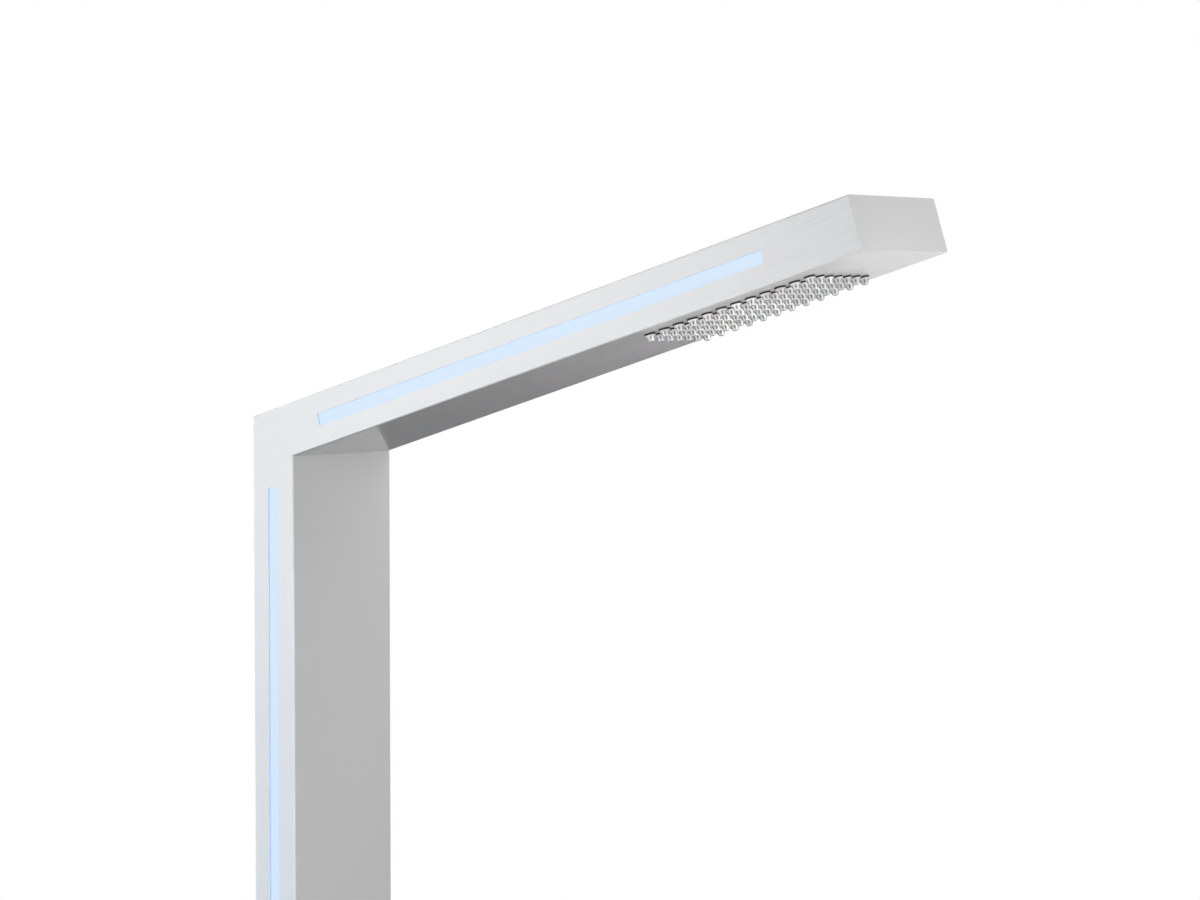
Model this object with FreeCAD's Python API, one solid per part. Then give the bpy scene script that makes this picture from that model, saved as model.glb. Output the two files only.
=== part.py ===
import FreeCAD, Part
import math
import os

# An outdoor shower: a slim white column with an arm that rises away from its top.
# Water comes up through the floor, is mixed at a lever on the front of the column and
# leaves through a field of soft nozzles under the end of the arm. Lines of light are let
# into both sides. Lengths are in millimetres. The origin is on the floor, at the centre of
# the anchor holes. +X is the way the arm reaches and +Z is up.

# Column and arm: one rectangular tube section, mitred at the top
section_width = 150.0
section_depth = 50.0
wall = 3.0
edge_radius = 2.0
corner_height = 2060.0  # floor to the inner corner under the arm
arm_length = 655.0  # along the underside, from the inner corner to the tip
arm_rise = 17.0  # degrees above level
overrun = 5.0  # cutters reach this far past what they cut

# Countersunk screws, all of one pattern
screw_head_share = 2.0  # head width, as a share of the thread size
screw_drive_share = 0.6
screw_drive_depth_share = 0.35
screw_clear = 0.1

# Base plate on the floor
plate_length = 300.0
plate_width = 240.0
plate_thick = 12.0
plate_corner_radius = 14.0
plate_edge_radius = 1.5
column_setback = 60.0  # axis of the column behind the centre of the anchors
anchor_spacing_x = 240.0
anchor_spacing_y = 180.0
anchor_hole_radius = 7.0

# Foot: a short tube welded to the base plate, which the column slides over
foot_height = 80.0
foot_wall = 4.0
foot_clear = 0.3
foot_screw_size = 5.0
foot_screw_height = 45.0  # above the base plate
foot_screw_spacing = 28.0

# Plate folded into the mitre to stiffen it
gusset_width = 90.0
gusset_thick = 4.0
gusset_leg = 110.0

# Cap on the end of the arm
cap_thick = 3.0
cap_edge_radius = 0.8
cap_spigot = 20.0
cap_spigot_wall = 4.0
cap_clear = 0.3
cap_screw_size = 4.0
cap_screw_spacing = 90.0

# Service door low on the back, on a frame behind the wall
door_height = 230.0
door_corner_radius = 6.0
door_lift = 20.0  # above the foot
door_gap = 0.4
door_lap = 10.0  # frame behind the wall of the tube
door_side_gap = 7.0  # between the frame and the sides of the tube
door_ledge = 10.0  # frame behind the door
frame_thick = 4.0
gasket_thick = 1.0
door_screw_size = 4.0

# Stop valves on the hot and cold feeds, turned from behind
feed_spacing = 60.0
feed_forward = 2.0  # feeds ahead of the axis of the column
inlet_hole_radius = 13.0
tail_clear = 0.5  # tails of the valves in the base plate
tail_lift = 1.0  # ends of the tails above the floor
port_radius = 9.32  # minor radius of a half inch pipe thread
port_depth = 10.0
valve_room = 0.7  # between the valves and the foot
valve_height = 178.0
valve_bore_radius = 5.0
plug_height = 138.0  # above the base plate
plug_radius = 9.0
plug_clear = 0.05
plug_reach = 8.0  # past the axis of the valve
plug_end_gap = 0.1
stem_radius = 5.0
stem_clear = 0.2
stem_out = 1.0
slot_width = 1.6
slot_depth = 2.5
boss_radius = 13.0
boss_out = 2.0
valve_nut_radius = 11.0
valve_nut_thick = 4.0
valve_washer_thick = 1.0

# Water pipes and their clips
supply_radius = 6.0
supply_wall = 1.0
socket_depth = 12.0
socket_clear = 0.1
riser_radius = 7.5
riser_wall = 1.0
riser_bend = 60.0
clip_wall = 4.0
clip_height = 14.0
supply_clip_shares = (0.45, 0.85)
riser_clip_shares = (0.3, 0.75)
arm_clip_share = 0.55

# Mixer: body behind the front wall, with a collar through it
mixer_height = 1100.0  # floor to the axis of the lever
mixer_back_gap = 5.0
mixer_side = 16.0  # body beyond the feeds
mixer_tall = 76.0
mixer_corner_radius = 5.0
collar_radius = 21.0
collar_clear = 0.4
collar_out = 7.5
waterway_radius = 3.5
waterway_back = 11.0  # cross drillings ahead of the back of the body
seat_depth = 25.0
cartridge_radius = 18.0
seat_port_radius = 2.5
seat_port_y = 5.5
seat_port_drop = 4.5
outlet_port_rise = 6.0

# Trim of the mixer
escutcheon_size = 80.0
escutcheon_thick = 3.0
escutcheon_corner_radius = 6.0
escutcheon_edge_radius = 1.0
ring_nut_radius = 25.0
ring_nut_clear = 0.1
ring_nut_notch = 4.0
ring_nut_edge_radius = 0.8

# Ceramic cartridge, built up from the seat
cartridge_clear = 0.2
cartridge_seal_thick = 1.5
housing_floor = 3.0
housing_wall = 2.3
fixed_disc_thick = 4.0
fixed_disc_clear = 0.3
disc_gap = 0.05
disc_side_gap = 1.2  # between the moving disc and its housing at either end of its travel
moving_disc_thick = 3.5
pocket_radius = 6.6
pocket_depth = 1.8
pocket_rise = 1.5
driver_thick = 4.0
guide_gap = 0.3
guide_clear = 0.06
guide_neck_radius = 11.5
cartridge_nut_thick = 3.0
cartridge_nut_clear = 0.4

# Lever: spindle on a cross pin, dome that turns with the guide, handle over the dome
lever_lift = 25.0  # degrees from closed to fully open
spindle_size = 7.0
spindle_clear = 0.2
spindle_end = 29.5
stem_thick = 2.8
stem_width = 5.0
stem_top = 5.0  # stem of the spindle ends this far behind the pin
foot_radius = 1.8
foot_room = 0.4
pin_radius = 1.5
pin_clear = 0.05
pin_length = 22.0
slot_room = 0.6
dome_radius = 24.0
dome_gap = 0.5
dome_floor = 2.3
dome_wall = 2.5
handle_clear = 0.4
handle_wall = 3.6
handle_spread = 45.0  # degrees from the axis to the rim of the handle
lever_width = 16.0
lever_back = 24.0
lever_thick = 8.0
lever_top = 12.0
lever_bottom = 118.0
lever_edge_radius = 1.5
grub_size = 4.0
grub_length = 6.0
grub_clear = 0.05

# Spray head at the end of the arm
nozzle_rows = 7
nozzle_columns = 12
column_pitch = 15.75
nozzle_tip_margin = 72.75  # last nozzles to the tip
nozzle_length = 7.5  # below the underside
nozzle_neck_radius = 3.5
nozzle_neck_clear = 0.2
nozzle_rim_radius = 5.0
nozzle_rim_thick = 1.0
nozzle_shoulder_radius = 4.7
nozzle_waist_radius = 3.4
nozzle_waist_share = 0.62  # of the way from the rim to the tip
nozzle_tip_radius = 2.3
nozzle_bore_radius = 0.8
nozzle_flange_radius = 5.2
nozzle_flange_thick = 1.4
flange_clear = 0.3
nozzle_collar_thick = 1.5
nozzle_collar_radius = 5.2
head_margin = 6.0  # of the water space past the end nozzles
head_side_margin = 0.8  # of the water space past the side nozzles
head_side_gap = 6.3  # between the chamber and the troughs of light
spray_plate_thick = 2.0
spray_plate_hole_radius = 2.0
chamber_wall = 2.5
chamber_height = 32.0
spigot_radius = 10.0
spigot_bore_radius = 6.5
spigot_length = 20.0
packer_length = 30.0
packer_width = 60.0
packer_margin = 20.0  # packers in from the ends of the chamber
union_washer_thick = 2.0
riser_flange_step = 0.4  # flange of the riser smaller than the spigot
riser_flange_thick = 3.0
union_flats = 28.0
union_lip = 4.0
union_grip = 10.0
union_clear = 0.2

# Lines of light let into both sides
light_width = 12.0
light_corner_radius = 1.0
light_recess = 2.0  # face of the diffuser below the side
light_clear = 0.15
column_light_bottom = 200.0
column_light_gap = 30.5  # below the inner corner
arm_light_start = 40.5  # from the inner corner
arm_light_tip_margin = 97.0
channel_height = 20.0
channel_wall = 1.6
board_thick = 1.6
diffuser_thick = 3.0
diffuser_gap = 0.6  # between the corner leads and the diffusers

# Driver of the lights, its leads and the gland of the cable
driver_width = 40.0
driver_depth = 24.0
driver_height = 150.0
driver_lift = 34.0  # above the frame of the door
driver_edge_radius = 2.0
tab_height = 14.0
tab_thick = 3.0
stud_radius = 2.0
stud_length = 8.0
stud_clear = 0.3
stud_nut_flats = 7.0
stud_nut_thick = 3.2
driver_lead_radius = 1.5
driver_lead_gap = 0.5  # between the leads and the pipes
corner_lead_radius = 2.0
corner_lead_bend = 48.0
lead_clear = 0.1
gland_thread_radius = 10.0
gland_clear = 0.2
gland_lift = 2.0  # above the floor
gland_flats = 24.0
gland_flange = 6.0
gland_neck_radius = 8.5
gland_neck = 6.0
gland_bore_radius = 5.0
gland_nut_flats = 21.0
gland_nut_height = 16.0
gland_nut_gap = 0.5
gland_seal_radius = 7.0
gland_seal_hole_radius = 4.0
gland_seal_height = 8.0

# Places worked out from the sizes
along_x = FreeCAD.Vector(1, 0, 0)
along_y = FreeCAD.Vector(0, 1, 0)
along_z = FreeCAD.Vector(0, 0, 1)
right_angle = 90.0
parallel_share = 0.999
column_x = -column_setback
front_x = column_x + section_depth / 2
feed_x = column_x + feed_forward
driver_lead_x = feed_x - supply_radius - driver_lead_gap - driver_lead_radius
bore_width = section_width - 2 * wall
bore_depth = section_depth - 2 * wall
inner_back_x = column_x - bore_depth / 2
mitre_slope = math.tan(math.radians((right_angle - arm_rise) / 2))
side_inner = bore_width / 2
lead_width = 2 * (corner_lead_radius + lead_clear)
channel_depth = channel_wall + board_thick + lead_width + diffuser_gap + diffuser_thick
channel_inner = side_inner - channel_depth
plate_top = plate_thick
door_width = bore_width - 2 * (door_lap + door_side_gap)
door_bottom = plate_top + foot_height + door_lift
door_centre = door_bottom + door_height / 2
driver_bottom = door_bottom + door_height + door_lap + driver_lift + tab_height
valve_radius = bore_depth / 2 - foot_clear - foot_wall - feed_forward - valve_room
valve_top = plate_top + valve_height
plug_z = plate_top + plug_height
valve_back = feed_x - valve_radius - boss_out
mixer_deep = section_depth - wall - mixer_back_gap
mixer_bottom = mixer_height - mixer_tall / 2
mixer_top = mixer_height + mixer_tall / 2
housing_base = cartridge_seal_thick - seat_depth
fixed_disc_base = housing_base + housing_floor
moving_disc_base = fixed_disc_base + fixed_disc_thick + disc_gap
driver_base = moving_disc_base + moving_disc_thick
guide_base = driver_base + driver_thick + guide_gap
cartridge_nut_base = collar_out - cartridge_nut_thick
guide_shoulder = cartridge_nut_base - guide_gap
housing_inner_radius = cartridge_radius - cartridge_clear - housing_wall
dome_base = collar_out + dome_gap
foot_u = driver_base + driver_thick / 2
disc_travel = -foot_u * math.sin(math.radians(lever_lift))
moving_disc_radius = housing_inner_radius - disc_travel / 2 - disc_side_gap
field_length = (nozzle_columns - 1) * column_pitch
last_nozzle = arm_length - nozzle_tip_margin
first_nozzle = last_nozzle - field_length
water_start = first_nozzle - nozzle_flange_radius - head_margin
water_end = last_nozzle + nozzle_flange_radius + head_margin
water_width = 2 * (channel_inner - head_side_gap - chamber_wall)
field_width = water_width - 2 * (nozzle_flange_radius + head_side_margin)
row_pitch = field_width / (nozzle_rows - 1)
spray_plate_base = wall + nozzle_flange_thick
chamber_base = spray_plate_base + spray_plate_thick
chamber_top = chamber_base + chamber_height
chamber_start = water_start - chamber_wall
chamber_end = water_end + chamber_wall
union_face = chamber_start - spigot_length  # end of the spigot
riser_flange_radius = spigot_radius - riser_flange_step
riser_end = union_face - union_washer_thick
column_light_top = corner_height - column_light_gap
arm_light_end = arm_length - arm_light_tip_margin


def spot(x, y, z):
    """A point or a way in space."""
    return FreeCAD.Vector(x, y, z)


arm_turn = FreeCAD.Rotation(-along_y, arm_rise)
upright_turn = FreeCAD.Rotation(-along_y, right_angle)
inner_corner = FreeCAD.Placement(spot(front_x, 0, corner_height), arm_turn)
front_face = FreeCAD.Placement(spot(front_x, 0, 0), upright_turn)
mixer_axis = FreeCAD.Placement(spot(front_x, 0, mixer_height), FreeCAD.Rotation())


def span(middle, size):
    """Low and high end of a size about its middle."""
    return middle - size / 2, middle + size / 2


def side_span(side, inner, outer):
    """Low and high end across the width of what lies between two distances on one side."""
    return tuple(sorted((side * inner, side * outer)))


def block(x, y, z):
    """A block between a low and a high end along each axis."""
    return Part.makeBox(x[1] - x[0], y[1] - y[0], z[1] - z[0], spot(x[0], y[0], z[0]))


def edges_along(shape, axis):
    """The straight edges of a shape that run along an axis."""
    found = []
    for edge in shape.Edges:
        way = edge.Vertexes[-1].Point - edge.Vertexes[0].Point
        if abs(way.dot(axis)) > parallel_share * way.Length > 0:
            found.append(edge)
    return found


def rounded_block(x, y, z, axis, radius):
    """A block whose edges along one axis are rounded."""
    shape = block(x, y, z)
    return shape.makeFillet(radius, edges_along(shape, axis))


def rod(start, way, radius, length):
    """A round rod from a start point along a way."""
    return Part.makeCylinder(radius, length, start, way)


def ring(start, way, outer, inner, length):
    """A round sleeve from a start point along a way."""
    return rod(start, way, outer, length).cut(rod(start, way, inner, length))


def set_on(shape, start, way):
    """A shape drawn on +Z, moved to a start point and turned to a way."""
    shape.Placement = FreeCAD.Placement(start, FreeCAD.Rotation(along_z, way))
    return shape


def hexagon(start, way, flats, length):
    """A hexagonal bar of a width across its flats."""
    corner = flats / math.sqrt(3)
    turns = [math.radians(60 * step) for step in range(7)]
    points = [spot(corner * math.cos(turn), corner * math.sin(turn), 0) for turn in turns]
    return set_on(Part.Face(Part.makePolygon(points)).extrude(spot(0, 0, length)), start, way)


def slab(points, y):
    """An outline of (x, z) points carried across the width."""
    corners = [spot(x, y[0], z) for x, z in points]
    corners.append(corners[0])
    return Part.Face(Part.makePolygon(corners)).extrude(spot(0, y[1] - y[0], 0))


def turned(points):
    """An outline of (radius, height) points turned about +Z."""
    corners = [spot(radius, 0, height) for radius, height in points]
    corners.append(corners[0])
    return Part.Face(Part.makePolygon(corners)).revolve(spot(0, 0, 0), along_z, 4 * right_angle)


def placed(shape, place):
    """A shape drawn in the frame of the arm, the front face or the mixer, put in its place."""
    shape.Placement = place.multiply(shape.Placement)
    return shape


def screw(size, length, start, way):
    """A countersunk screw whose head is flush at the start point and faces the way."""
    head_radius = size * screw_head_share / 2
    head_depth = head_radius - size / 2
    outline = [(0, 0), (head_radius, 0), (size / 2, -head_depth), (size / 2, -length), (0, -length)]
    drive_depth = size * screw_drive_depth_share
    drive = hexagon(spot(0, 0, -drive_depth), along_z, size * screw_drive_share, drive_depth + overrun)
    return set_on(turned(outline).cut(drive), start, way)


def screw_hole(size, length, start, way):
    """The countersunk hole of such a screw, with its clearance."""
    radius = size / 2 + screw_clear
    head_radius = size * screw_head_share / 2 + screw_clear
    head_base = -size * (screw_head_share - 1) / 2
    end = -length - overrun
    outline = [(0, overrun), (head_radius + overrun, overrun), (radius, head_base), (radius, end), (0, end)]
    return set_on(turned(outline), start, way)


def pipe_run(path, radius):
    """A round bar along a path of straight runs and tangent arcs."""
    start = path.Edges[0].Vertexes[0].Point
    way = path.Edges[0].tangentAt(path.Edges[0].FirstParameter)
    profile = Part.Wire(Part.makeCircle(radius, start, way))
    return path.makePipeShell([profile], True, False)


def bend_path(low, reach, y, bend):
    """The middle line of the tubes from a height on the column to a distance along the arm."""
    half_turn = math.radians((right_angle - arm_rise) / 2)
    tangent = bend * math.tan(half_turn)
    middle = section_depth / 2
    corner = spot(column_x, y, corner_height + middle * mitre_slope)
    way = inner_corner.Rotation.multVec(along_x)
    end = inner_corner.multVec(spot(reach, y, middle))
    before = corner - along_z * tangent
    after = corner + way * tangent
    inward = (way - along_z).normalize()
    centre = corner + inward * (bend / math.cos(half_turn))
    halfway = centre - inward * bend
    edges = [
        Part.LineSegment(spot(column_x, y, low), before).toShape(),
        Part.Arc(before, halfway, after).toShape(),
        Part.LineSegment(after, end).toShape(),
    ]
    return Part.Wire(edges)


def door_spots():
    """Where the four screws of the service door sit, across and up."""
    across = (door_width - door_ledge) / 2
    up = (door_height - door_ledge) / 2
    return [(y * across, door_centre + z * up) for y in (-1, 1) for z in (-1, 1)]


def foot_spots():
    """Where the screws of the foot sit, and the way that their heads face."""
    places = []
    for side in (-1, 1):
        for x in span(column_x, foot_screw_spacing):
            start = spot(x, side * section_width / 2, plate_top + foot_screw_height)
            places.append((start, spot(0, side, 0)))
    return places


def cap_spots():
    """Where the screws of the end cap sit on the top of the arm."""
    along = arm_length - cap_thick - cap_spigot / 2
    return [spot(along, y, section_depth) for y in span(0, cap_screw_spacing)]


def nozzle_spots():
    """Where the nozzles sit along and across the underside of the arm."""
    along = [first_nozzle + step * column_pitch for step in range(nozzle_columns)]
    across = [step * row_pitch - field_width / 2 for step in range(nozzle_rows)]
    return [(s, y) for s in along for y in across]


def nozzle_rods(radius, base, top):
    """Rods on all the nozzles between two heights above the underside."""
    return [rod(spot(s, y, base), along_z, radius, top - base) for s, y in nozzle_spots()]


def base_plate():
    """Thick plate with anchor holes, two inlets and the hole of the cable gland."""
    shape = rounded_block(
        span(0, plate_length), span(0, plate_width), (0, plate_thick), along_z, plate_corner_radius
    )
    rim = [edge for edge in shape.Edges if edge.BoundBox.ZMin > plate_thick / 2]
    shape = shape.makeFillet(plate_edge_radius, rim)
    deep = plate_thick + 2 * overrun
    holes = []
    for x in span(0, anchor_spacing_x):
        for y in span(0, anchor_spacing_y):
            holes.append(rod(spot(x, y, -overrun), along_z, anchor_hole_radius, deep))
    for y in span(0, feed_spacing):
        holes.append(rod(spot(feed_x, y, -overrun), along_z, inlet_hole_radius, deep))
    holes.append(rod(spot(column_x, 0, -overrun), along_z, gland_thread_radius + gland_clear, deep))
    return shape.cut(holes)


def foot_spigot():
    """Short tube inside the bottom of the column, with the threads of its screws."""
    depth = bore_depth - 2 * foot_clear
    width = bore_width - 2 * foot_clear
    outer = block(span(column_x, depth), span(0, width), (plate_top, plate_top + foot_height))
    inner = block(
        span(column_x, depth - 2 * foot_wall),
        span(0, width - 2 * foot_wall),
        (plate_top - overrun, plate_top + foot_height + overrun),
    )
    radius = foot_screw_size / 2 + screw_clear
    threads = []
    for start, way in foot_spots():
        threads.append(rod(start, -way, radius, wall + foot_clear + foot_wall + overrun))
    return outer.cut([inner] + threads)


def foot_screws():
    """Screws that hold the column to its foot."""
    length = wall + foot_clear + foot_wall
    return Part.makeCompound([screw(foot_screw_size, length, start, way) for start, way in foot_spots()])


def light_slot(start, end):
    """Cutter for the slots of a line of light in both sides of a tube."""
    return rounded_block(
        (start, end),
        span(0, section_width + 2 * overrun),
        span(section_depth / 2, light_width),
        along_y,
        light_corner_radius,
    )


def column_tube():
    """Upright tube, cut on the mitre, with its slots, lever hole, door opening and screw holes."""
    top = corner_height + section_depth * mitre_slope
    shape = rounded_block(
        span(column_x, section_depth), span(0, section_width), (plate_top, top), along_z, edge_radius
    )
    hollow = block(span(column_x, bore_depth), span(0, bore_width), (plate_top - overrun, top + overrun))
    front = front_x + overrun
    back = front_x - section_depth - overrun
    waste = slab(
        [
            (front, corner_height - overrun * mitre_slope),
            (back, corner_height + (section_depth + overrun) * mitre_slope),
            (back, top + section_depth),
            (front, top + section_depth),
        ],
        span(0, section_width + 2 * overrun),
    )
    slot = placed(light_slot(column_light_bottom, column_light_top), front_face)
    lever_hole = rod(
        spot(front_x - wall - overrun, 0, mixer_height),
        along_x,
        collar_radius + collar_clear,
        wall + 2 * overrun,
    )
    doorway = rounded_block(
        (inner_back_x - wall - overrun, inner_back_x + overrun),
        span(0, door_width),
        (door_bottom, door_bottom + door_height),
        along_x,
        door_corner_radius,
    )
    holes = [screw_hole(foot_screw_size, wall, start, way) for start, way in foot_spots()]
    return shape.cut([hollow, waste, slot, lever_hole, doorway] + holes)


def arm_tube():
    """Arm, cut on the mitre, with its slots, nozzle holes and screw holes."""
    shape = rounded_block(
        (-section_depth * mitre_slope, arm_length - cap_thick),
        span(0, section_width),
        (0, section_depth),
        along_x,
        edge_radius,
    )
    hollow = block(
        (-section_depth, arm_length),
        span(0, bore_width),
        span(section_depth / 2, bore_depth),
    )
    high = section_depth + overrun
    left = -high * mitre_slope - overrun
    waste = slab(
        [(overrun * mitre_slope, -overrun), (-high * mitre_slope, high), (left, high), (left, -overrun)],
        span(0, section_width + 2 * overrun),
    )
    slot = light_slot(arm_light_start, arm_light_end)
    holes = nozzle_rods(nozzle_neck_radius + nozzle_neck_clear, -overrun, wall + overrun)
    holes += [screw_hole(cap_screw_size, wall, start, along_z) for start in cap_spots()]
    return placed(shape.cut([hollow, waste, slot] + holes), inner_corner)


def corner_gusset():
    """Folded plate that lies on the back wall of the column and the top wall of the arm."""
    outer = section_depth - wall
    inner = outer - gusset_thick

    def bend(depth):
        return spot(front_x - depth, 0, corner_height + depth * mitre_slope)

    foot = bend(outer).z - gusset_leg
    reach = gusset_leg - outer * mitre_slope
    over = inner_corner.multVec(spot(reach, 0, outer))
    under = inner_corner.multVec(spot(reach, 0, inner))
    points = [
        (front_x - outer, foot),
        (bend(outer).x, bend(outer).z),
        (over.x, over.z),
        (under.x, under.z),
        (bend(inner).x, bend(inner).z),
        (front_x - inner, foot),
    ]
    return slab(points, span(0, gusset_width))


def arm_end_cap():
    """Flush cap with a spigot inside the end of the arm."""
    face = arm_length - cap_thick
    shape = rounded_block(
        (face, arm_length), span(0, section_width), (0, section_depth), along_x, edge_radius
    )
    rim = [edge for edge in shape.Edges if edge.BoundBox.XMin > arm_length - cap_thick / 2]
    shape = shape.makeFillet(cap_edge_radius, rim)
    width = bore_width - 2 * cap_clear
    depth = bore_depth - 2 * cap_clear
    middle = section_depth / 2
    outer = block((face - cap_spigot, face + cap_thick / 2), span(0, width), span(middle, depth))
    inner = block(
        (face - cap_spigot - overrun, face),
        span(0, width - 2 * cap_spigot_wall),
        span(middle, depth - 2 * cap_spigot_wall),
    )
    radius = cap_screw_size / 2 + screw_clear
    length = wall + cap_clear + cap_spigot_wall + overrun
    threads = [rod(start, -along_z, radius, length) for start in cap_spots()]
    return placed(shape.fuse(outer).cut([inner] + threads), inner_corner)


def end_cap_screws():
    """Screws through the top of the arm into the cap."""
    length = wall + cap_clear + cap_spigot_wall
    screws = [placed(screw(cap_screw_size, length, start, along_z), inner_corner) for start in cap_spots()]
    return Part.makeCompound(screws)


def door_block(grow, x, radius):
    """A rounded plate in the place of the service door, larger or smaller all round."""
    return rounded_block(
        x, span(0, door_width + 2 * grow), span(door_centre, door_height + 2 * grow), along_x, radius
    )


def service_door():
    """Plate that closes the doorway flush with the back of the column."""
    shape = door_block(-door_gap, (inner_back_x - wall, inner_back_x), door_corner_radius - door_gap)
    holes = []
    for y, z in door_spots():
        holes.append(screw_hole(door_screw_size, wall, spot(inner_back_x - wall, y, z), -along_x))
    return shape.cut(holes)


def door_holes(radius):
    """Cutters for the screws of the door behind its plate."""
    return [rod(spot(inner_back_x - wall, y, z), along_x, radius, section_depth) for y, z in door_spots()]


def door_frame():
    """Frame bonded inside the back wall, with a rebate for the gasket and threads for the screws."""
    radius = door_corner_radius
    shape = door_block(door_lap, (inner_back_x, inner_back_x + frame_thick), radius)
    way_in = door_block(-door_ledge, (inner_back_x - overrun, inner_back_x + frame_thick + overrun), radius)
    rebate = door_block(0, (inner_back_x - overrun, inner_back_x + gasket_thick), radius)
    return shape.cut([way_in, rebate] + door_holes(door_screw_size / 2 + screw_clear))


def door_gasket():
    """Flat rubber ring pressed between the door and its frame."""
    radius = door_corner_radius
    shape = door_block(-door_gap, (inner_back_x, inner_back_x + gasket_thick), radius - door_gap)
    way_in = door_block(-door_ledge, (inner_back_x - overrun, inner_back_x + overrun), radius)
    return shape.cut([way_in] + door_holes(door_screw_size / 2 + 2 * screw_clear))


def door_screws():
    """Screws of the service door."""
    length = wall + frame_thick
    screws = []
    for y, z in door_spots():
        screws.append(screw(door_screw_size, length, spot(inner_back_x - wall, y, z), -along_x))
    return Part.makeCompound(screws)


def stop_valve(y):
    """Upright valve body: threaded tail in the base plate, pipe socket above, plug and boss behind."""
    shape = rod(spot(feed_x, y, plate_top), along_z, valve_radius, valve_height)
    tail = rod(spot(feed_x, y, tail_lift), along_z, inlet_hole_radius - tail_clear, plate_top)
    boss = rod(spot(valve_back, y, plug_z), along_x, boss_radius, feed_x - valve_back)
    shape = shape.fuse([tail, boss])
    cuts = [
        rod(spot(feed_x, y, tail_lift), along_z, port_radius, port_depth),
        rod(spot(feed_x, y, tail_lift), along_z, valve_bore_radius, valve_top + overrun),
        rod(
            spot(feed_x, y, valve_top - socket_depth),
            along_z,
            supply_radius + socket_clear,
            socket_depth + overrun,
        ),
        rod(
            spot(valve_back, y, plug_z), along_x, plug_radius + plug_clear, feed_x - valve_back + plug_reach
        ),
        rod(
            spot(valve_back - overrun, y, plug_z),
            along_x,
            valve_nut_radius + screw_clear,
            valve_nut_thick + overrun,
        ),
    ]
    return shape.cut(cuts)


def valve_plug(y):
    """Quarter-turn plug, open at rest, with a cross hole and a slotted stem."""
    shoulder = valve_back + valve_nut_thick + valve_washer_thick + plug_end_gap
    end = feed_x + plug_reach - plug_end_gap
    back = valve_back - stem_out
    shape = rod(spot(shoulder, y, plug_z), along_x, plug_radius, end - shoulder)
    shape = shape.fuse(rod(spot(back, y, plug_z), along_x, stem_radius, end - back))
    slot = block(
        (back - overrun, back + slot_depth), span(y, 2 * plug_radius), span(plug_z, slot_width)
    )
    way = rod(spot(feed_x, y, plug_z - boss_radius), along_z, valve_bore_radius, 2 * boss_radius)
    return shape.cut([slot, way])


def valve_washers():
    """Flat washers between the plugs and their nuts."""
    start = valve_back + valve_nut_thick
    washers = []
    for y in span(0, feed_spacing):
        place = spot(start, y, plug_z)
        washers.append(ring(place, along_x, plug_radius, stem_radius + stem_clear, valve_washer_thick))
    return Part.makeCompound(washers)


def valve_nuts():
    """Nuts that keep the plugs in the valves."""
    nuts = []
    for y in span(0, feed_spacing):
        place = spot(valve_back, y, plug_z)
        nuts.append(ring(place, along_x, valve_nut_radius, stem_radius + stem_clear, valve_nut_thick))
    return Part.makeCompound(nuts)


def supply_pipe(y):
    """Straight pipe from a valve up to the mixer."""
    low = valve_top - socket_depth
    length = mixer_bottom + socket_depth - low
    return ring(spot(feed_x, y, low), along_z, supply_radius, supply_radius - supply_wall, length)


def wall_clip(x, y, z, radius):
    """Block from the back wall that a pipe passes through."""
    across = 2 * (radius + clip_wall)
    shape = block((inner_back_x, x + radius + clip_wall), span(y, across), span(z, clip_height))
    return shape.cut(rod(spot(x, y, z - clip_height), along_z, radius + socket_clear, 2 * clip_height))


def supply_pipe_clips():
    """Clips of the two supply pipes."""
    run = mixer_bottom - valve_top
    clips = []
    for y in span(0, feed_spacing):
        for share in supply_clip_shares:
            clips.append(wall_clip(feed_x, y, valve_top + share * run, supply_radius))
    return Part.makeCompound(clips)


def riser_pipe():
    """Pipe from the mixer up the column and along the arm to the spray head, flanged at its end."""
    low = mixer_top - socket_depth
    path = bend_path(low, riser_end, 0, riser_bend)
    middle = section_depth / 2
    start = spot(riser_end - riser_flange_thick, 0, middle)
    flange = placed(rod(start, along_x, riser_flange_radius, riser_flange_thick), inner_corner)
    return pipe_run(path, riser_radius).fuse(flange).cut(pipe_run(path, riser_radius - riser_wall))


def riser_clips():
    """Clips of the riser on the back of the column and under the top of the arm."""
    run = corner_height - mixer_top
    clips = []
    for share in riser_clip_shares:
        clips.append(wall_clip(column_x, 0, mixer_top + share * run, riser_radius))
    along = arm_clip_share * riser_end
    middle = section_depth / 2
    low = middle - riser_radius - clip_wall
    shape = block(
        span(along, clip_height), span(0, 2 * (riser_radius + clip_wall)), (low, section_depth - wall)
    )
    hole = rod(
        spot(along - clip_height, 0, middle), along_x, riser_radius + socket_clear, 2 * clip_height
    )
    clips.append(placed(shape.cut(hole), inner_corner))
    return Part.makeCompound(clips)


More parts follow.
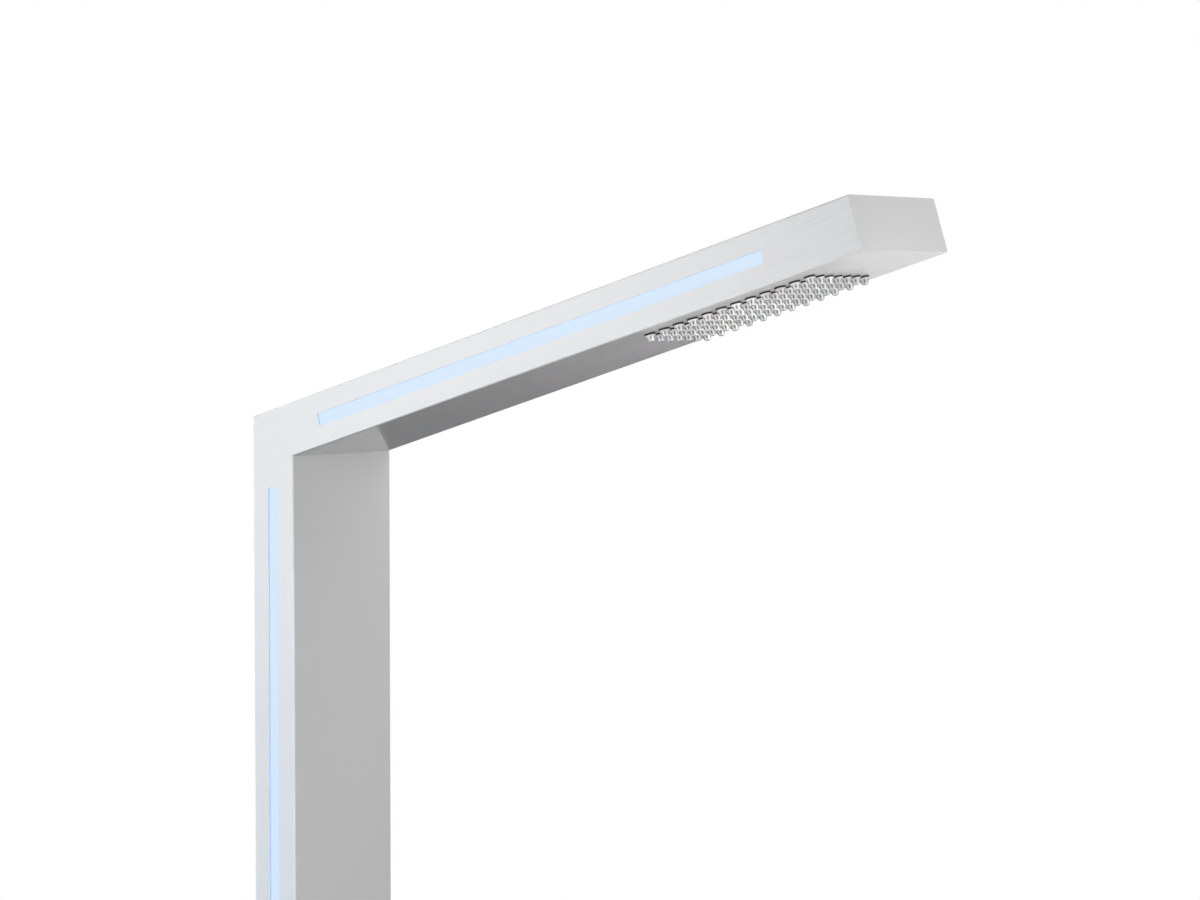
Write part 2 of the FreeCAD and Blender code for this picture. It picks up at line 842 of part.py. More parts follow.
def mixer_body():
    """Cast body with a collar through the front wall, a seat for the cartridge and drilled waterways."""
    feed_u = feed_x - front_x
    cross_u = waterway_back - mixer_deep
    half = mixer_tall / 2
    shape = rounded_block(
        (-mixer_deep, -wall),
        span(0, feed_spacing + 2 * mixer_side),
        span(0, mixer_tall),
        along_x,
        mixer_corner_radius,
    )
    collar = rod(spot(-mixer_deep / 2, 0, 0), along_x, collar_radius, mixer_deep / 2 + collar_out)
    shape = shape.fuse(collar)
    cuts = [rod(spot(-seat_depth, 0, 0), along_x, cartridge_radius, seat_depth + collar_out + overrun)]
    for side in (-1, 1):
        y = side * feed_spacing / 2
        inlet = spot(feed_u, y, -half - overrun)
        cuts.append(rod(inlet, along_z, supply_radius + socket_clear, socket_depth + overrun))
        cuts.append(rod(inlet, along_z, waterway_radius, half + overrun - seat_port_drop))
        cuts.append(rod(spot(cross_u, y, -seat_port_drop), along_x, waterway_radius, feed_u - cross_u))
        cuts.append(
            rod(
                spot(cross_u, side * seat_port_y, -seat_port_drop),
                spot(0, side, 0),
                waterway_radius,
                feed_spacing / 2 - seat_port_y,
            )
        )
    outlet = spot(cross_u, 0, outlet_port_rise)
    cuts.append(rod(outlet, along_z, waterway_radius, half - outlet_port_rise - socket_depth))
    socket = spot(column_x - front_x, 0, half - socket_depth)
    cuts.append(rod(socket, along_z, riser_radius + socket_clear, socket_depth + overrun))
    cuts += seat_ports(cross_u, -seat_depth + overrun)
    return placed(shape.cut(cuts), mixer_axis)


def seat_ports(base, top):
    """Cutters for the hot, cold and mixed ports of the cartridge."""
    ports = [(-seat_port_y, -seat_port_drop), (seat_port_y, -seat_port_drop), (0, outlet_port_rise)]
    return [rod(spot(base, y, z), along_x, seat_port_radius, top - base) for y, z in ports]


def mixer_escutcheon():
    """Square trim plate on the front of the column."""
    shape = rounded_block(
        (0, escutcheon_thick),
        span(0, escutcheon_size),
        span(0, escutcheon_size),
        along_x,
        escutcheon_corner_radius,
    )
    rim = [edge for edge in shape.Edges if edge.BoundBox.XMin > escutcheon_thick / 2]
    shape = shape.makeFillet(escutcheon_edge_radius, rim)
    hole = rod(spot(-overrun, 0, 0), along_x, collar_radius + collar_clear, escutcheon_thick + 2 * overrun)
    return placed(shape.cut(hole), mixer_axis)


def mixer_ring_nut():
    """Notched ring nut that draws the mixer against the front wall."""
    thick = collar_out - escutcheon_thick
    shape = rod(spot(escutcheon_thick, 0, 0), along_x, ring_nut_radius, thick)
    rim = [edge for edge in shape.Edges if edge.BoundBox.XMin > collar_out - thick / 2]
    shape = shape.makeFillet(ring_nut_edge_radius, rim)
    cuts = [rod(spot(0, 0, 0), along_x, collar_radius + ring_nut_clear, collar_out + overrun)]
    deep = ring_nut_radius - collar_radius
    for side in (-1, 1):
        far = side_span(side, ring_nut_radius - deep / 2, ring_nut_radius + overrun)
        cuts.append(block((0, collar_out + overrun), far, span(0, ring_nut_notch)))
        cuts.append(block((0, collar_out + overrun), span(0, ring_nut_notch), far))
    return placed(shape.cut(cuts), mixer_axis)


def cartridge_seal():
    """Rubber pad between the seat of the mixer and the cartridge."""
    radius = housing_inner_radius
    shape = rod(spot(-seat_depth, 0, 0), along_x, radius, cartridge_seal_thick)
    return placed(shape.cut(seat_ports(-seat_depth - overrun, housing_base + overrun)), mixer_axis)


def cartridge_housing():
    """Cup that holds the discs and the lever guide."""
    radius = cartridge_radius - cartridge_clear
    shape = rod(spot(housing_base, 0, 0), along_x, radius, cartridge_nut_base - housing_base)
    hollow = rod(spot(fixed_disc_base, 0, 0), along_x, housing_inner_radius, seat_depth + collar_out)
    return placed(shape.cut([hollow] + seat_ports(-seat_depth, fixed_disc_base + overrun)), mixer_axis)


def cartridge_nut():
    """Nut inside the collar that holds the cartridge down."""
    start = spot(cartridge_nut_base, 0, 0)
    radius = cartridge_radius - cartridge_clear
    inner = guide_neck_radius + cartridge_nut_clear
    return placed(ring(start, along_x, radius, inner, cartridge_nut_thick), mixer_axis)


def fixed_disc():
    """Ceramic disc with three ports, still in the housing."""
    radius = housing_inner_radius - fixed_disc_clear
    shape = rod(spot(fixed_disc_base, 0, 0), along_x, radius, fixed_disc_thick)
    return placed(shape.cut(seat_ports(housing_base, moving_disc_base + overrun)), mixer_axis)


def moving_disc():
    """Ceramic disc that slides over the ports, with a mixing pocket, drawn closed."""
    rise = disc_travel / 2
    shape = rod(spot(moving_disc_base, 0, rise), along_x, moving_disc_radius, moving_disc_thick)
    start = spot(moving_disc_base - overrun, 0, rise + pocket_rise)
    return placed(shape.cut(rod(start, along_x, pocket_radius, pocket_depth + overrun)), mixer_axis)


def disc_driver():
    """Plate on the moving disc with a slot for the foot of the spindle."""
    shape = rod(spot(driver_base, 0, disc_travel / 2), along_x, moving_disc_radius, driver_thick)
    slot = block(
        (driver_base - overrun, driver_base + driver_thick + overrun),
        span(0, stem_width + 2 * foot_room),
        span(0, 2 * (foot_radius + foot_room)),
    )
    return placed(shape.cut(slot), mixer_axis)


def lever_guide():
    """Guide that turns in the housing and carries the pin of the lever."""
    lift = math.tan(math.radians(lever_lift))
    lean = spindle_size / 2 / math.cos(math.radians(lever_lift))
    neck_end = dome_base + dome_floor
    radius = housing_inner_radius - guide_clear
    shape = rod(spot(guide_base, 0, 0), along_x, radius, guide_shoulder - guide_base)
    shape = shape.fuse(rod(spot(guide_base, 0, 0), along_x, guide_neck_radius, neck_end - guide_base))
    slot = block(
        (guide_base - overrun, neck_end + overrun),
        span(0, spindle_size + 2 * spindle_clear),
        (-stem_top * lift - lean - slot_room, neck_end * lift + lean + slot_room),
    )
    hole = rod(spot(0, -radius - overrun, 0), along_y, pin_radius + pin_clear, 2 * (radius + overrun))
    return placed(shape.cut([slot, hole]), mixer_axis)


def swivel_dome():
    """Polished dome on the neck of the guide, slotted for the spindle."""
    turn = math.radians(lever_lift)
    high = dome_radius * math.sin(turn) + spindle_size / 2 * math.cos(turn)
    floor = dome_base + dome_floor
    wide = span(0, 2 * (dome_radius + overrun))
    shape = Part.makeSphere(dome_radius).common(block((dome_base, dome_radius + overrun), wide, wide))
    hollow = Part.makeSphere(dome_radius - dome_wall).common(block((floor, dome_radius), wide, wide))
    slot = block(
        (floor, dome_radius + overrun),
        span(0, spindle_size + 2 * spindle_clear),
        (-spindle_size / 2 - slot_room, high + slot_room),
    )
    neck = rod(spot(0, 0, 0), along_x, guide_neck_radius + pin_clear, dome_radius)
    neck = neck.common(block((0, floor + overrun), wide, wide))
    return placed(shape.cut([hollow, slot, neck]), mixer_axis)


def pivot_pin():
    """Cross pin of the lever."""
    start = spot(0, -pin_length / 2, 0)
    return placed(rod(start, along_y, pin_radius, pin_length), mixer_axis)


def lever_spindle():
    """Square bar on the pin, from the foot in the disc driver to the socket of the handle."""
    square = span(0, spindle_size)
    shape = block((-stem_top, spindle_end), square, square)
    stem = block((foot_u, -stem_top), span(0, stem_width), span(0, stem_thick))
    foot = rod(spot(foot_u, -stem_width / 2, 0), along_y, foot_radius, stem_width)
    hole = rod(spot(0, -spindle_size, 0), along_y, pin_radius + pin_clear, 2 * spindle_size)
    return placed(shape.fuse([stem, foot]).cut(hole), mixer_axis)


def lever_handle():
    """Flat lever on a cap that follows the dome, with a square socket and a grub screw hole."""
    inner = dome_radius + handle_clear
    outer = inner + handle_wall
    front = lever_back + lever_thick
    spread = math.tan(math.radians(handle_spread))
    cone = Part.makeCone(0, front * spread, front, spot(0, 0, 0), along_x)
    cap = Part.makeSphere(outer).common(cone)
    bar = block((lever_back, front), span(0, lever_width), (-lever_bottom, lever_top))
    bar = bar.makeFillet(lever_edge_radius, bar.Edges)
    square = span(0, spindle_size + 2 * pin_clear)
    socket = block((0, spindle_end + pin_clear), square, square)
    grub = rod(
        spot((inner + spindle_end) / 2, 0, 0), along_z, grub_size / 2 + grub_clear, lever_top + overrun
    )
    return placed(cap.fuse(bar).cut([Part.makeSphere(inner), socket, grub]), mixer_axis)


def handle_grub_screw():
    """Socket screw that locks the handle on the spindle."""
    start = spot((dome_radius + handle_clear + spindle_end) / 2, 0, spindle_size / 2)
    shape = rod(start, along_z, grub_size / 2, grub_length)
    drive_depth = grub_size * screw_drive_depth_share
    top = start + along_z * (grub_length - drive_depth)
    drive = hexagon(top, along_z, grub_size * screw_drive_share, drive_depth + overrun)
    return placed(shape.cut(drive), mixer_axis)


def spray_nozzle():
    """One soft nozzle: flange inside the arm, neck through the wall, rim and tapered tip below."""
    rim_top = -nozzle_collar_thick
    rim_base = rim_top - nozzle_rim_thick
    taper = rim_base + nozzle_length
    outline = [
        (nozzle_bore_radius, wall + nozzle_flange_thick),
        (nozzle_flange_radius, wall + nozzle_flange_thick),
        (nozzle_flange_radius, wall),
        (nozzle_neck_radius, wall),
        (nozzle_neck_radius, rim_top),
        (nozzle_rim_radius, rim_top),
        (nozzle_rim_radius, rim_base),
        (nozzle_shoulder_radius, rim_base),
        (nozzle_waist_radius, rim_base - nozzle_waist_share * taper),
        (nozzle_tip_radius, -nozzle_length),
        (nozzle_bore_radius, -nozzle_length),
    ]
    return turned(outline)


def spray_nozzles():
    """The field of nozzles."""
    pattern = spray_nozzle()
    nozzles = []
    for s, y in nozzle_spots():
        nozzle = pattern.copy()
        nozzle.translate(spot(s, y, 0))
        nozzles.append(placed(nozzle, inner_corner))
    return Part.makeCompound(nozzles)


def nozzle_collars():
    """Dark collars on the nozzles, against the underside."""
    collars = []
    inner = nozzle_neck_radius + nozzle_neck_clear
    for s, y in nozzle_spots():
        start = spot(s, y, -nozzle_collar_thick)
        collar = ring(start, along_z, nozzle_collar_radius, inner, nozzle_collar_thick)
        collars.append(placed(collar, inner_corner))
    return Part.makeCompound(collars)


def nozzle_gasket():
    """Rubber sheet around the flanges of the nozzles."""
    shape = block(
        (chamber_start, chamber_end), span(0, water_width + 2 * chamber_wall), (wall, spray_plate_base)
    )
    holes = nozzle_rods(nozzle_flange_radius + flange_clear, 0, spray_plate_base + overrun)
    return placed(shape.cut(holes), inner_corner)


def spray_plate():
    """Plate that holds the nozzles down and lets the water into each."""
    shape = block(
        (chamber_start, chamber_end),
        span(0, water_width + 2 * chamber_wall),
        (spray_plate_base, chamber_base),
    )
    return placed(shape.cut(nozzle_rods(spray_plate_hole_radius, 0, chamber_base + overrun)), inner_corner)


def head_chamber():
    """Tray turned over on the spray plate, with a spigot for the riser."""
    outer = water_width + 2 * chamber_wall
    shape = block((chamber_start, chamber_end), span(0, outer), (chamber_base, chamber_top))
    middle = section_depth / 2
    length = spigot_length + chamber_wall
    shape = shape.fuse(rod(spot(union_face, 0, middle), along_x, spigot_radius, length))
    hollow = block(
        (water_start, water_end), span(0, water_width), (chamber_base - overrun, chamber_top - chamber_wall)
    )
    bore = rod(spot(union_face - overrun, 0, middle), along_x, spigot_bore_radius, length + 2 * overrun)
    return placed(shape.cut([hollow, bore]), inner_corner)


def chamber_packers():
    """Rubber blocks that press the chamber down from the top of the arm."""
    middles = (
        chamber_start + packer_margin + packer_length / 2,
        chamber_end - packer_margin - packer_length / 2,
    )
    packers = []
    for middle in middles:
        shape = block(
            span(middle, packer_length), span(0, packer_width), (chamber_top, section_depth - wall)
        )
        packers.append(placed(shape, inner_corner))
    return Part.makeCompound(packers)


def union_washer():
    """Flat washer between the riser and the spigot of the chamber."""
    start = spot(riser_end, 0, section_depth / 2)
    shape = ring(start, along_x, riser_flange_radius, spigot_bore_radius, union_washer_thick)
    return placed(shape, inner_corner)


def union_nut():
    """Hexagon nut that pulls the riser against the chamber."""
    middle = section_depth / 2
    back = riser_end - riser_flange_thick - union_lip
    length = union_face + union_grip - back
    shape = hexagon(spot(back, 0, middle), along_x, union_flats, length)
    hole = rod(spot(back - overrun, 0, middle), along_x, riser_radius + union_clear, length)
    grip = rod(spot(back + union_lip, 0, middle), along_x, spigot_radius + union_clear, length + overrun)
    return placed(shape.cut([hole, grip]), inner_corner)


def light_lines():
    """The lines of light: name, place of their tube and their two ends along it."""
    return [
        ("column", front_face, column_light_bottom, column_light_top),
        ("arm", inner_corner, arm_light_start, arm_light_end),
    ]


def light_channel(start, end, side):
    """Aluminium trough behind a slot."""
    middle = section_depth / 2
    lap = (channel_height - light_width) / 2
    shape = block(
        (start - lap, end + lap), side_span(side, channel_inner, side_inner), span(middle, channel_height)
    )
    hollow = block(
        (start - lap + channel_wall, end + lap - channel_wall),
        side_span(side, channel_inner + channel_wall, side_inner + overrun),
        span(middle, channel_height - 2 * channel_wall),
    )
    return shape.cut(hollow)


def light_board(start, end, side):
    """Strip of lamps on the floor of a trough."""
    base = channel_inner + channel_wall
    return block(
        (start, end), side_span(side, base, base + board_thick), span(section_depth / 2, light_width)
    )


def light_diffuser(start, end, side):
    """Frosted bar behind a slot, with a rib that stands in it below the face of the side."""
    middle = section_depth / 2
    lap = (channel_height - light_width) / 2 - channel_wall - light_clear
    shape = block(
        (start - lap, end + lap),
        side_span(side, side_inner - diffuser_thick, side_inner),
        span(middle, light_width + 2 * lap),
    )
    rib = rounded_block(
        (start + light_clear, end - light_clear),
        side_span(side, side_inner - diffuser_thick / 2, section_width / 2 - light_recess),
        span(middle, light_width - 2 * light_clear),
        along_y,
        light_corner_radius - light_clear,
    )
    return shape.fuse(rib)


def both_sides(make, start, end, place):
    """A piece of a line of light on the near side and on the far side."""
    return Part.makeCompound([placed(make(start, end, side), place) for side in (-1, 1)])


def lead_hole(side):
    """Cutter for the lead of the driver through the floor of a column trough."""
    start = spot(driver_lead_x, side * (channel_inner - overrun), driver_lead_height())
    return rod(start, spot(0, side, 0), driver_lead_radius + lead_clear, channel_wall + 2 * overrun)


def driver_lead_height():
    """Height at which the leads leave the driver."""
    return driver_bottom + driver_height / 2


def column_light_channels():
    """Troughs of the column, drilled for the leads of the driver and of the arm."""
    shape = both_sides(light_channel, column_light_bottom, column_light_top, front_face)
    top = column_light_top + channel_height
    cuts = [lead_hole(side) for side in (-1, 1)]
    for side in (-1, 1):
        start = spot(column_x, side * lead_y(), column_light_top)
        cuts.append(rod(start, along_z, corner_lead_radius + lead_clear, top - column_light_top))
    return shape.cut(cuts)


def lead_y():
    """Distance of the corner leads from the middle, halfway into the troughs."""
    return channel_inner + channel_wall + board_thick + lead_width / 2


def arm_light_channels():
    """Troughs of the arm, drilled for the leads from the column."""
    shape = both_sides(light_channel, arm_light_start, arm_light_end, inner_corner)
    cuts = []
    for side in (-1, 1):
        start = spot(arm_light_start - channel_height, side * lead_y(), section_depth / 2)
        hole = rod(start, along_x, corner_lead_radius + lead_clear, channel_height)
        cuts.append(placed(hole, inner_corner))
    return shape.cut(cuts)


def corner_leads():
    """Leads that pass the light's supply round the corner from the column to the arm."""
    leads = []
    for side in (-1, 1):
        path = bend_path(column_light_top, arm_light_start, side * lead_y(), corner_lead_bend)
        leads.append(pipe_run(path, corner_lead_radius))
    return Part.makeCompound(leads)


def driver_tabs():
    """Middles of the two fixing tabs of the driver, up the column."""
    return driver_bottom - tab_height / 2, driver_bottom + driver_height + tab_height / 2


def light_driver():
    """Sealed driver box on the back wall, with a tab at each end."""
    x = (inner_back_x, inner_back_x + driver_depth)
    z = (driver_bottom, driver_bottom + driver_height)
    shape = rounded_block(x, span(0, driver_width), z, along_z, driver_edge_radius)
    tall = (driver_bottom - tab_height, driver_bottom + driver_height + tab_height)
    shape = shape.fuse(block((inner_back_x, inner_back_x + tab_thick), span(0, driver_width), tall))
    holes = []
    for z in driver_tabs():
        start = spot(inner_back_x - overrun, 0, z)
        holes.append(rod(start, along_x, stud_radius + stud_clear, tab_thick + 2 * overrun))
    return shape.cut(holes)


def driver_studs():
    """Welded studs and their nuts, which hold the driver."""
    studs = []
    for z in driver_tabs():
        stud = rod(spot(inner_back_x, 0, z), along_x, stud_radius, stud_length)
        nut = hexagon(spot(inner_back_x + tab_thick, 0, z), along_x, stud_nut_flats, stud_nut_thick)
        studs.append(stud.fuse(nut))
    return Part.makeCompound(studs)


def driver_leads():
    """Straight leads from the driver to the troughs of the column."""
    leads = []
    base = driver_width / 2
    for side in (-1, 1):
        start = spot(driver_lead_x, side * base, driver_lead_height())
        length = channel_inner + channel_wall - base
        leads.append(rod(start, spot(0, side, 0), driver_lead_radius, length))
    return Part.makeCompound(leads)


def cable_gland():
    """Gland in the base plate for the cable of the lights."""
    flange_top = plate_top + gland_flange
    top = flange_top + gland_neck
    axis = spot(column_x, 0, 0)
    shape = rod(axis + along_z * gland_lift, along_z, gland_thread_radius, plate_top - gland_lift)
    shape = shape.fuse(hexagon(axis + along_z * plate_top, along_z, gland_flats, gland_flange))
    shape = shape.fuse(rod(axis + along_z * flange_top, along_z, gland_neck_radius, gland_neck))
    return shape.cut(rod(axis, along_z, gland_bore_radius, top + overrun))


def gland_seal():
    """Rubber ring that grips the cable."""
    start = spot(column_x, 0, plate_top + gland_flange + gland_neck)
    return ring(start, along_z, gland_seal_radius, gland_seal_hole_radius, gland_seal_height)


def gland_nut():
    """Nut that presses the ring of the gland."""
    base = plate_top + gland_flange + gland_nut_gap
    start = spot(column_x, 0, base)
    shape = hexagon(start, along_z, gland_nut_flats, gland_nut_height)
    seal_top = plate_top + gland_flange + gland_neck + gland_seal_height
    bore = rod(start - along_z * overrun, along_z, gland_neck_radius + screw_clear, gland_neck + overrun)
    hollow = rod(start, along_z, gland_seal_radius + screw_clear, seal_top - base)
    way = rod(start, along_z, gland_bore_radius, gland_nut_height + overrun)
    return shape.cut([bore, hollow, way])


hot_y, cold_y = span(0, feed_spacing)
pieces = {
    "base_plate": base_plate(),
    "foot_spigot": foot_spigot(),
    "foot_screws": foot_screws(),
    "column_tube": column_tube(),
    "arm_tube": arm_tube(),
    "corner_gusset": corner_gusset(),
    "arm_end_cap": arm_end_cap(),
    "end_cap_screws": end_cap_screws(),
    "service_door": service_door(),
    "door_frame": door_frame(),
    "door_gasket": door_gasket(),
    "door_screws": door_screws(),
    "hot_stop_valve": stop_valve(hot_y),
    "cold_stop_valve": stop_valve(cold_y),
    "hot_valve_plug": valve_plug(hot_y),
    "cold_valve_plug": valve_plug(cold_y),
    "valve_washers": valve_washers(),
    "valve_nuts": valve_nuts(),
    "hot_supply_pipe": supply_pipe(hot_y),
    "cold_supply_pipe": supply_pipe(cold_y),
    "supply_pipe_clips": supply_pipe_clips(),
    "mixer_body": mixer_body(),
    "mixer_escutcheon": mixer_escutcheon(),
    "mixer_ring_nut": mixer_ring_nut(),
    "cartridge_seal": cartridge_seal(),
    "cartridge_housing": cartridge_housing(),
    "cartridge_nut": cartridge_nut(),
    "fixed_disc": fixed_disc(),
    "moving_disc": moving_disc(),
    "disc_driver": disc_driver(),
    "lever_guide": lever_guide(),
    "swivel_dome": swivel_dome(),
    "pivot_pin": pivot_pin(),
    "lever_spindle": lever_spindle(),
    "lever_handle": lever_handle(),
    "handle_grub_screw": handle_grub_screw(),
    "riser_pipe": riser_pipe(),
    "riser_clips": riser_clips(),
    "union_washer": union_washer(),
    "union_nut": union_nut(),
    "head_chamber": head_chamber(),
    "chamber_packers": chamber_packers(),
    "spray_plate": spray_plate(),
    "nozzle_gasket": nozzle_gasket(),
    "spray_nozzles": spray_nozzles(),
    "nozzle_collars": nozzle_collars(),
    "column_light_channels": column_light_channels(),
    "arm_light_channels": arm_light_channels(),
    "corner_leads": corner_leads(),
    "light_driver": light_driver(),
    "driver_studs": driver_studs(),
    "driver_leads": driver_leads(),
    "cable_gland": cable_gland(),
    "gland_seal": gland_seal(),
    "gland_nut": gland_nut(),
}
for name, place, start, end in light_lines():
    pieces[name + "_light_boards"] = both_sides(light_board, start, end, place)
    pieces[name + "_diffusers"] = both_sides(light_diffuser, start, end, place)

os.makedirs("parts", exist_ok=True)
for name, shape in pieces.items():
    shape.exportStep(os.path.join("parts", name + ".step"))
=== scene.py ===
import math

import bmesh
import bpy
import numpy as np
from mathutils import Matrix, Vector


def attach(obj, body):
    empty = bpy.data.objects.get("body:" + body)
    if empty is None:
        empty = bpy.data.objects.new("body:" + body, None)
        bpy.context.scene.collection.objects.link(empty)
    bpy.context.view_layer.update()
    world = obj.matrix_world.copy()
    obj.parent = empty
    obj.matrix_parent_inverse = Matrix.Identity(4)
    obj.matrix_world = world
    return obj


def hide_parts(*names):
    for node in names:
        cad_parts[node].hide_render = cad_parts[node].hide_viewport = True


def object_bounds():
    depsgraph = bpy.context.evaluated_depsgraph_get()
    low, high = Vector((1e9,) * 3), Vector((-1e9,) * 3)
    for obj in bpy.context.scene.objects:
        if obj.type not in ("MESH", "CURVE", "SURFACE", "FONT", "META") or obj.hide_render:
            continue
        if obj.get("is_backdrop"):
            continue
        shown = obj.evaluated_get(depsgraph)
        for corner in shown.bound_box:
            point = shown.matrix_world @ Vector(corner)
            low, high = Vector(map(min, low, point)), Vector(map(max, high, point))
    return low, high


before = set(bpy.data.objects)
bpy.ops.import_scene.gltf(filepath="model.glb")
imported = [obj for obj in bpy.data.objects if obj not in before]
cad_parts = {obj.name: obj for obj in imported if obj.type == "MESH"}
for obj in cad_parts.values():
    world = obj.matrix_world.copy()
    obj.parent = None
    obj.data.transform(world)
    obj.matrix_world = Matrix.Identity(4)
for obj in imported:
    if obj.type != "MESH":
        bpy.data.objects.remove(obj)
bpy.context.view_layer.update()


# Column, arm, end cap, base plate and service door: folded and welded steel, powder coated
# in a satin white. The coat has a fine orange peel and keeps a soft sheen at low angles.
class Tap:
    """A socket in a finish's node tree. Sums, differences and products of taps add Math nodes."""

    def __init__(self, tree, socket=None):
        self.tree = tree
        self.socket = socket

    def add(self, kind, inputs=None, out=0, **settings):
        """One node of any kind: its settings first, then the values or links of its sockets."""
        node = self.tree.nodes.new(kind)
        for name, value in settings.items():
            setattr(node, name, value)
        for socket, value in (inputs or {}).items():
            self.feed(node.inputs[socket], value)
        return Tap(self.tree, node.outputs[out])

    def feed(self, socket, value):
        """Links a tap to a socket, or sets the socket's own value."""
        if isinstance(value, Tap):
            self.tree.links.new(value.socket, socket)
        else:
            socket.default_value = value

    def maths(self, operation, first, second):
        return self.add("ShaderNodeMath", {0: first, 1: second}, operation=operation)

    def __add__(self, other):
        return self.maths("ADD", self, other)

    __radd__ = __add__

    def __sub__(self, other):
        return self.maths("SUBTRACT", self, other)

    def __rsub__(self, other):
        return self.maths("SUBTRACT", other, self)

    def __mul__(self, other):
        return self.maths("MULTIPLY", self, other)

    __rmul__ = __mul__

    def mix(self, low, high):
        """A colour that goes from low to high as this tap goes from 0 to 1."""
        return self.add("ShaderNodeMix", {0: self, 6: low, 7: high}, out=2, data_type="RGBA")

    def spread(self, low, high, start, end):
        """This tap carried from the span low to high onto the span start to end, held at both ends."""
        return self.add("ShaderNodeMapRange", {0: self, 1: low, 2: high, 3: start, 4: end})


def new_finish(name, fixed):
    """A material with fixed values on its shader's own sockets. Gives it, a tap and the shader."""
    finish = bpy.data.materials.new(name)
    finish.use_nodes = True
    shader = finish.node_tree.nodes["Principled BSDF"]
    for socket, value in fixed.items():
        shader.inputs[socket].default_value = value
    return finish, Tap(finish.node_tree), shader


def grain(tap, size, detail=2.0, stretch=(1, 1, 1), turn=0.0):
    """Noise on the object's own coordinates, turned about Y: size is a cell in metres, stretched along each axis."""
    where = tap.add("ShaderNodeTexCoord", out="Object")
    cells = {0: where, "Rotation": (0, turn, 0), "Scale": [size * share for share in stretch]}
    placed = tap.add("ShaderNodeMapping", cells, vector_type="TEXTURE")
    return tap.add("ShaderNodeTexNoise", {"Vector": placed, "Scale": 1.0, "Detail": detail})


def relief(tap, shader, height, depth, strength):
    """Feeds a height to the shader's normal through a bump of a depth in metres."""
    bump = tap.add("ShaderNodeBump", {"Strength": strength, "Distance": depth, "Height": height}, out="Normal")
    tap.feed(shader.inputs["Normal"], bump)


def smooth_copy(node, finish, body):
    """A copy of a CAD piece, merged at its seams and over its flats, whose rounded edges shade evenly into them."""
    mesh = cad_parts[node].data.copy()
    merged = bmesh.new()
    merged.from_mesh(mesh)
    bmesh.ops.remove_doubles(merged, verts=merged.verts, dist=1e-6)
    bmesh.ops.dissolve_limit(merged, angle_limit=math.radians(0.2), verts=merged.verts, edges=merged.edges)
    merged.to_mesh(mesh)
    merged.free()
    mesh.shade_smooth()
    mesh.set_sharp_from_angle(angle=math.radians(50))
    mesh.materials.clear()
    mesh.materials.append(finish)
    piece = bpy.data.objects.new(node + "_skin", mesh)
    bpy.context.scene.collection.objects.link(piece)
    piece.modifiers.new("even", "WEIGHTED_NORMAL").keep_sharp = True
    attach(piece, body)
    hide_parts(node)


rise = math.radians(17)
corner_x, corner_z = -0.035, 2.06  # inner corner under the arm, where its underside starts
half_width = 0.075
lacquer, tap, shader = new_finish("white_lacquer", {"IOR": 1.35})
where = tap.add("ShaderNodeTexCoord", out="Object")
east, across, up = (tap.add("ShaderNodeSeparateXYZ", {0: where}, out=axis) for axis in "XYZ")
along = math.cos(rise) * (east - corner_x) + math.sin(rise) * (up - corner_z)
outward = tap.add("ShaderNodeMath", {0: across}, operation="ABSOLUTE")
side = outward.spread(half_width - 0.001, half_width - 0.0005, 0.0, 1.0)
strokes = grain(tap, 0.0022, 3.0, (22, 22, 1), -rise - 0.12).spread(0.5, 0.75, 0.0, 0.45)
tone = 0.3 + 0.4 * grain(tap, 0.16) - strokes * side * along.spread(0.42, 0.6, 0.0, 1.0)
tap.feed(shader.inputs["Base Color"], tone.mix((0.75, 0.755, 0.76, 1), (0.855, 0.86, 0.865, 1)))
tap.feed(shader.inputs["Roughness"], grain(tap, 0.012).spread(0.3, 0.7, 0.13, 0.19))
relief(tap, shader, grain(tap, 0.0016), 0.00003, 0.35)
for node in ("base_plate", "column_tube", "arm_tube", "arm_end_cap", "service_door"):
    smooth_copy(node, lacquer, "frame")


# Inside the column and arm: stainless foot, gusset, door frame, pipes and screws, cut from sheet,
# tube and bar and welded or screwed in place, with the fine lines of a drawn or turned surface.
def coat_nodes(finish, *nodes):
    """Gives a finish to CAD pieces that keep their own shape."""
    for node in nodes:
        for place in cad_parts[node].material_slots:
            place.material = finish


stainless, tap, shader = new_finish("stainless", {"Metallic": 1.0})
lines = grain(tap, 0.0006, 3.0, (1, 1, 40))
tap.feed(shader.inputs["Base Color"], lines.mix((0.50, 0.50, 0.49, 1), (0.68, 0.68, 0.67, 1)))
tap.feed(shader.inputs["Roughness"], lines.spread(0.3, 0.7, 0.24, 0.42))
relief(tap, shader, lines, 0.00002, 0.25)
coat_nodes(
    stainless, "foot_spigot", "foot_screws", "corner_gusset", "end_cap_screws", "door_frame", "door_screws",
    "hot_supply_pipe", "cold_supply_pipe", "riser_pipe", "driver_studs", "pivot_pin", "lever_spindle",
    "handle_grub_screw",
)


# Stop valves, mixer body and nuts: cast and turned brass, screwed together inside the column. It
# is a little dulled where it was handled.
brass, tap, shader = new_finish("brass", {"Metallic": 1.0})
dull = grain(tap, 0.009, 4.0)
tap.feed(shader.inputs["Base Color"], dull.mix((0.50, 0.36, 0.15, 1), (0.78, 0.62, 0.33, 1)))
tap.feed(shader.inputs["Roughness"], dull.spread(0.3, 0.7, 0.38, 0.24))
relief(tap, shader, grain(tap, 0.0008), 0.00003, 0.3)
coat_nodes(
    brass, "hot_stop_valve", "cold_stop_valve", "hot_valve_plug", "cold_valve_plug", "valve_nuts", "mixer_body",
    "cartridge_nut", "union_nut",
)


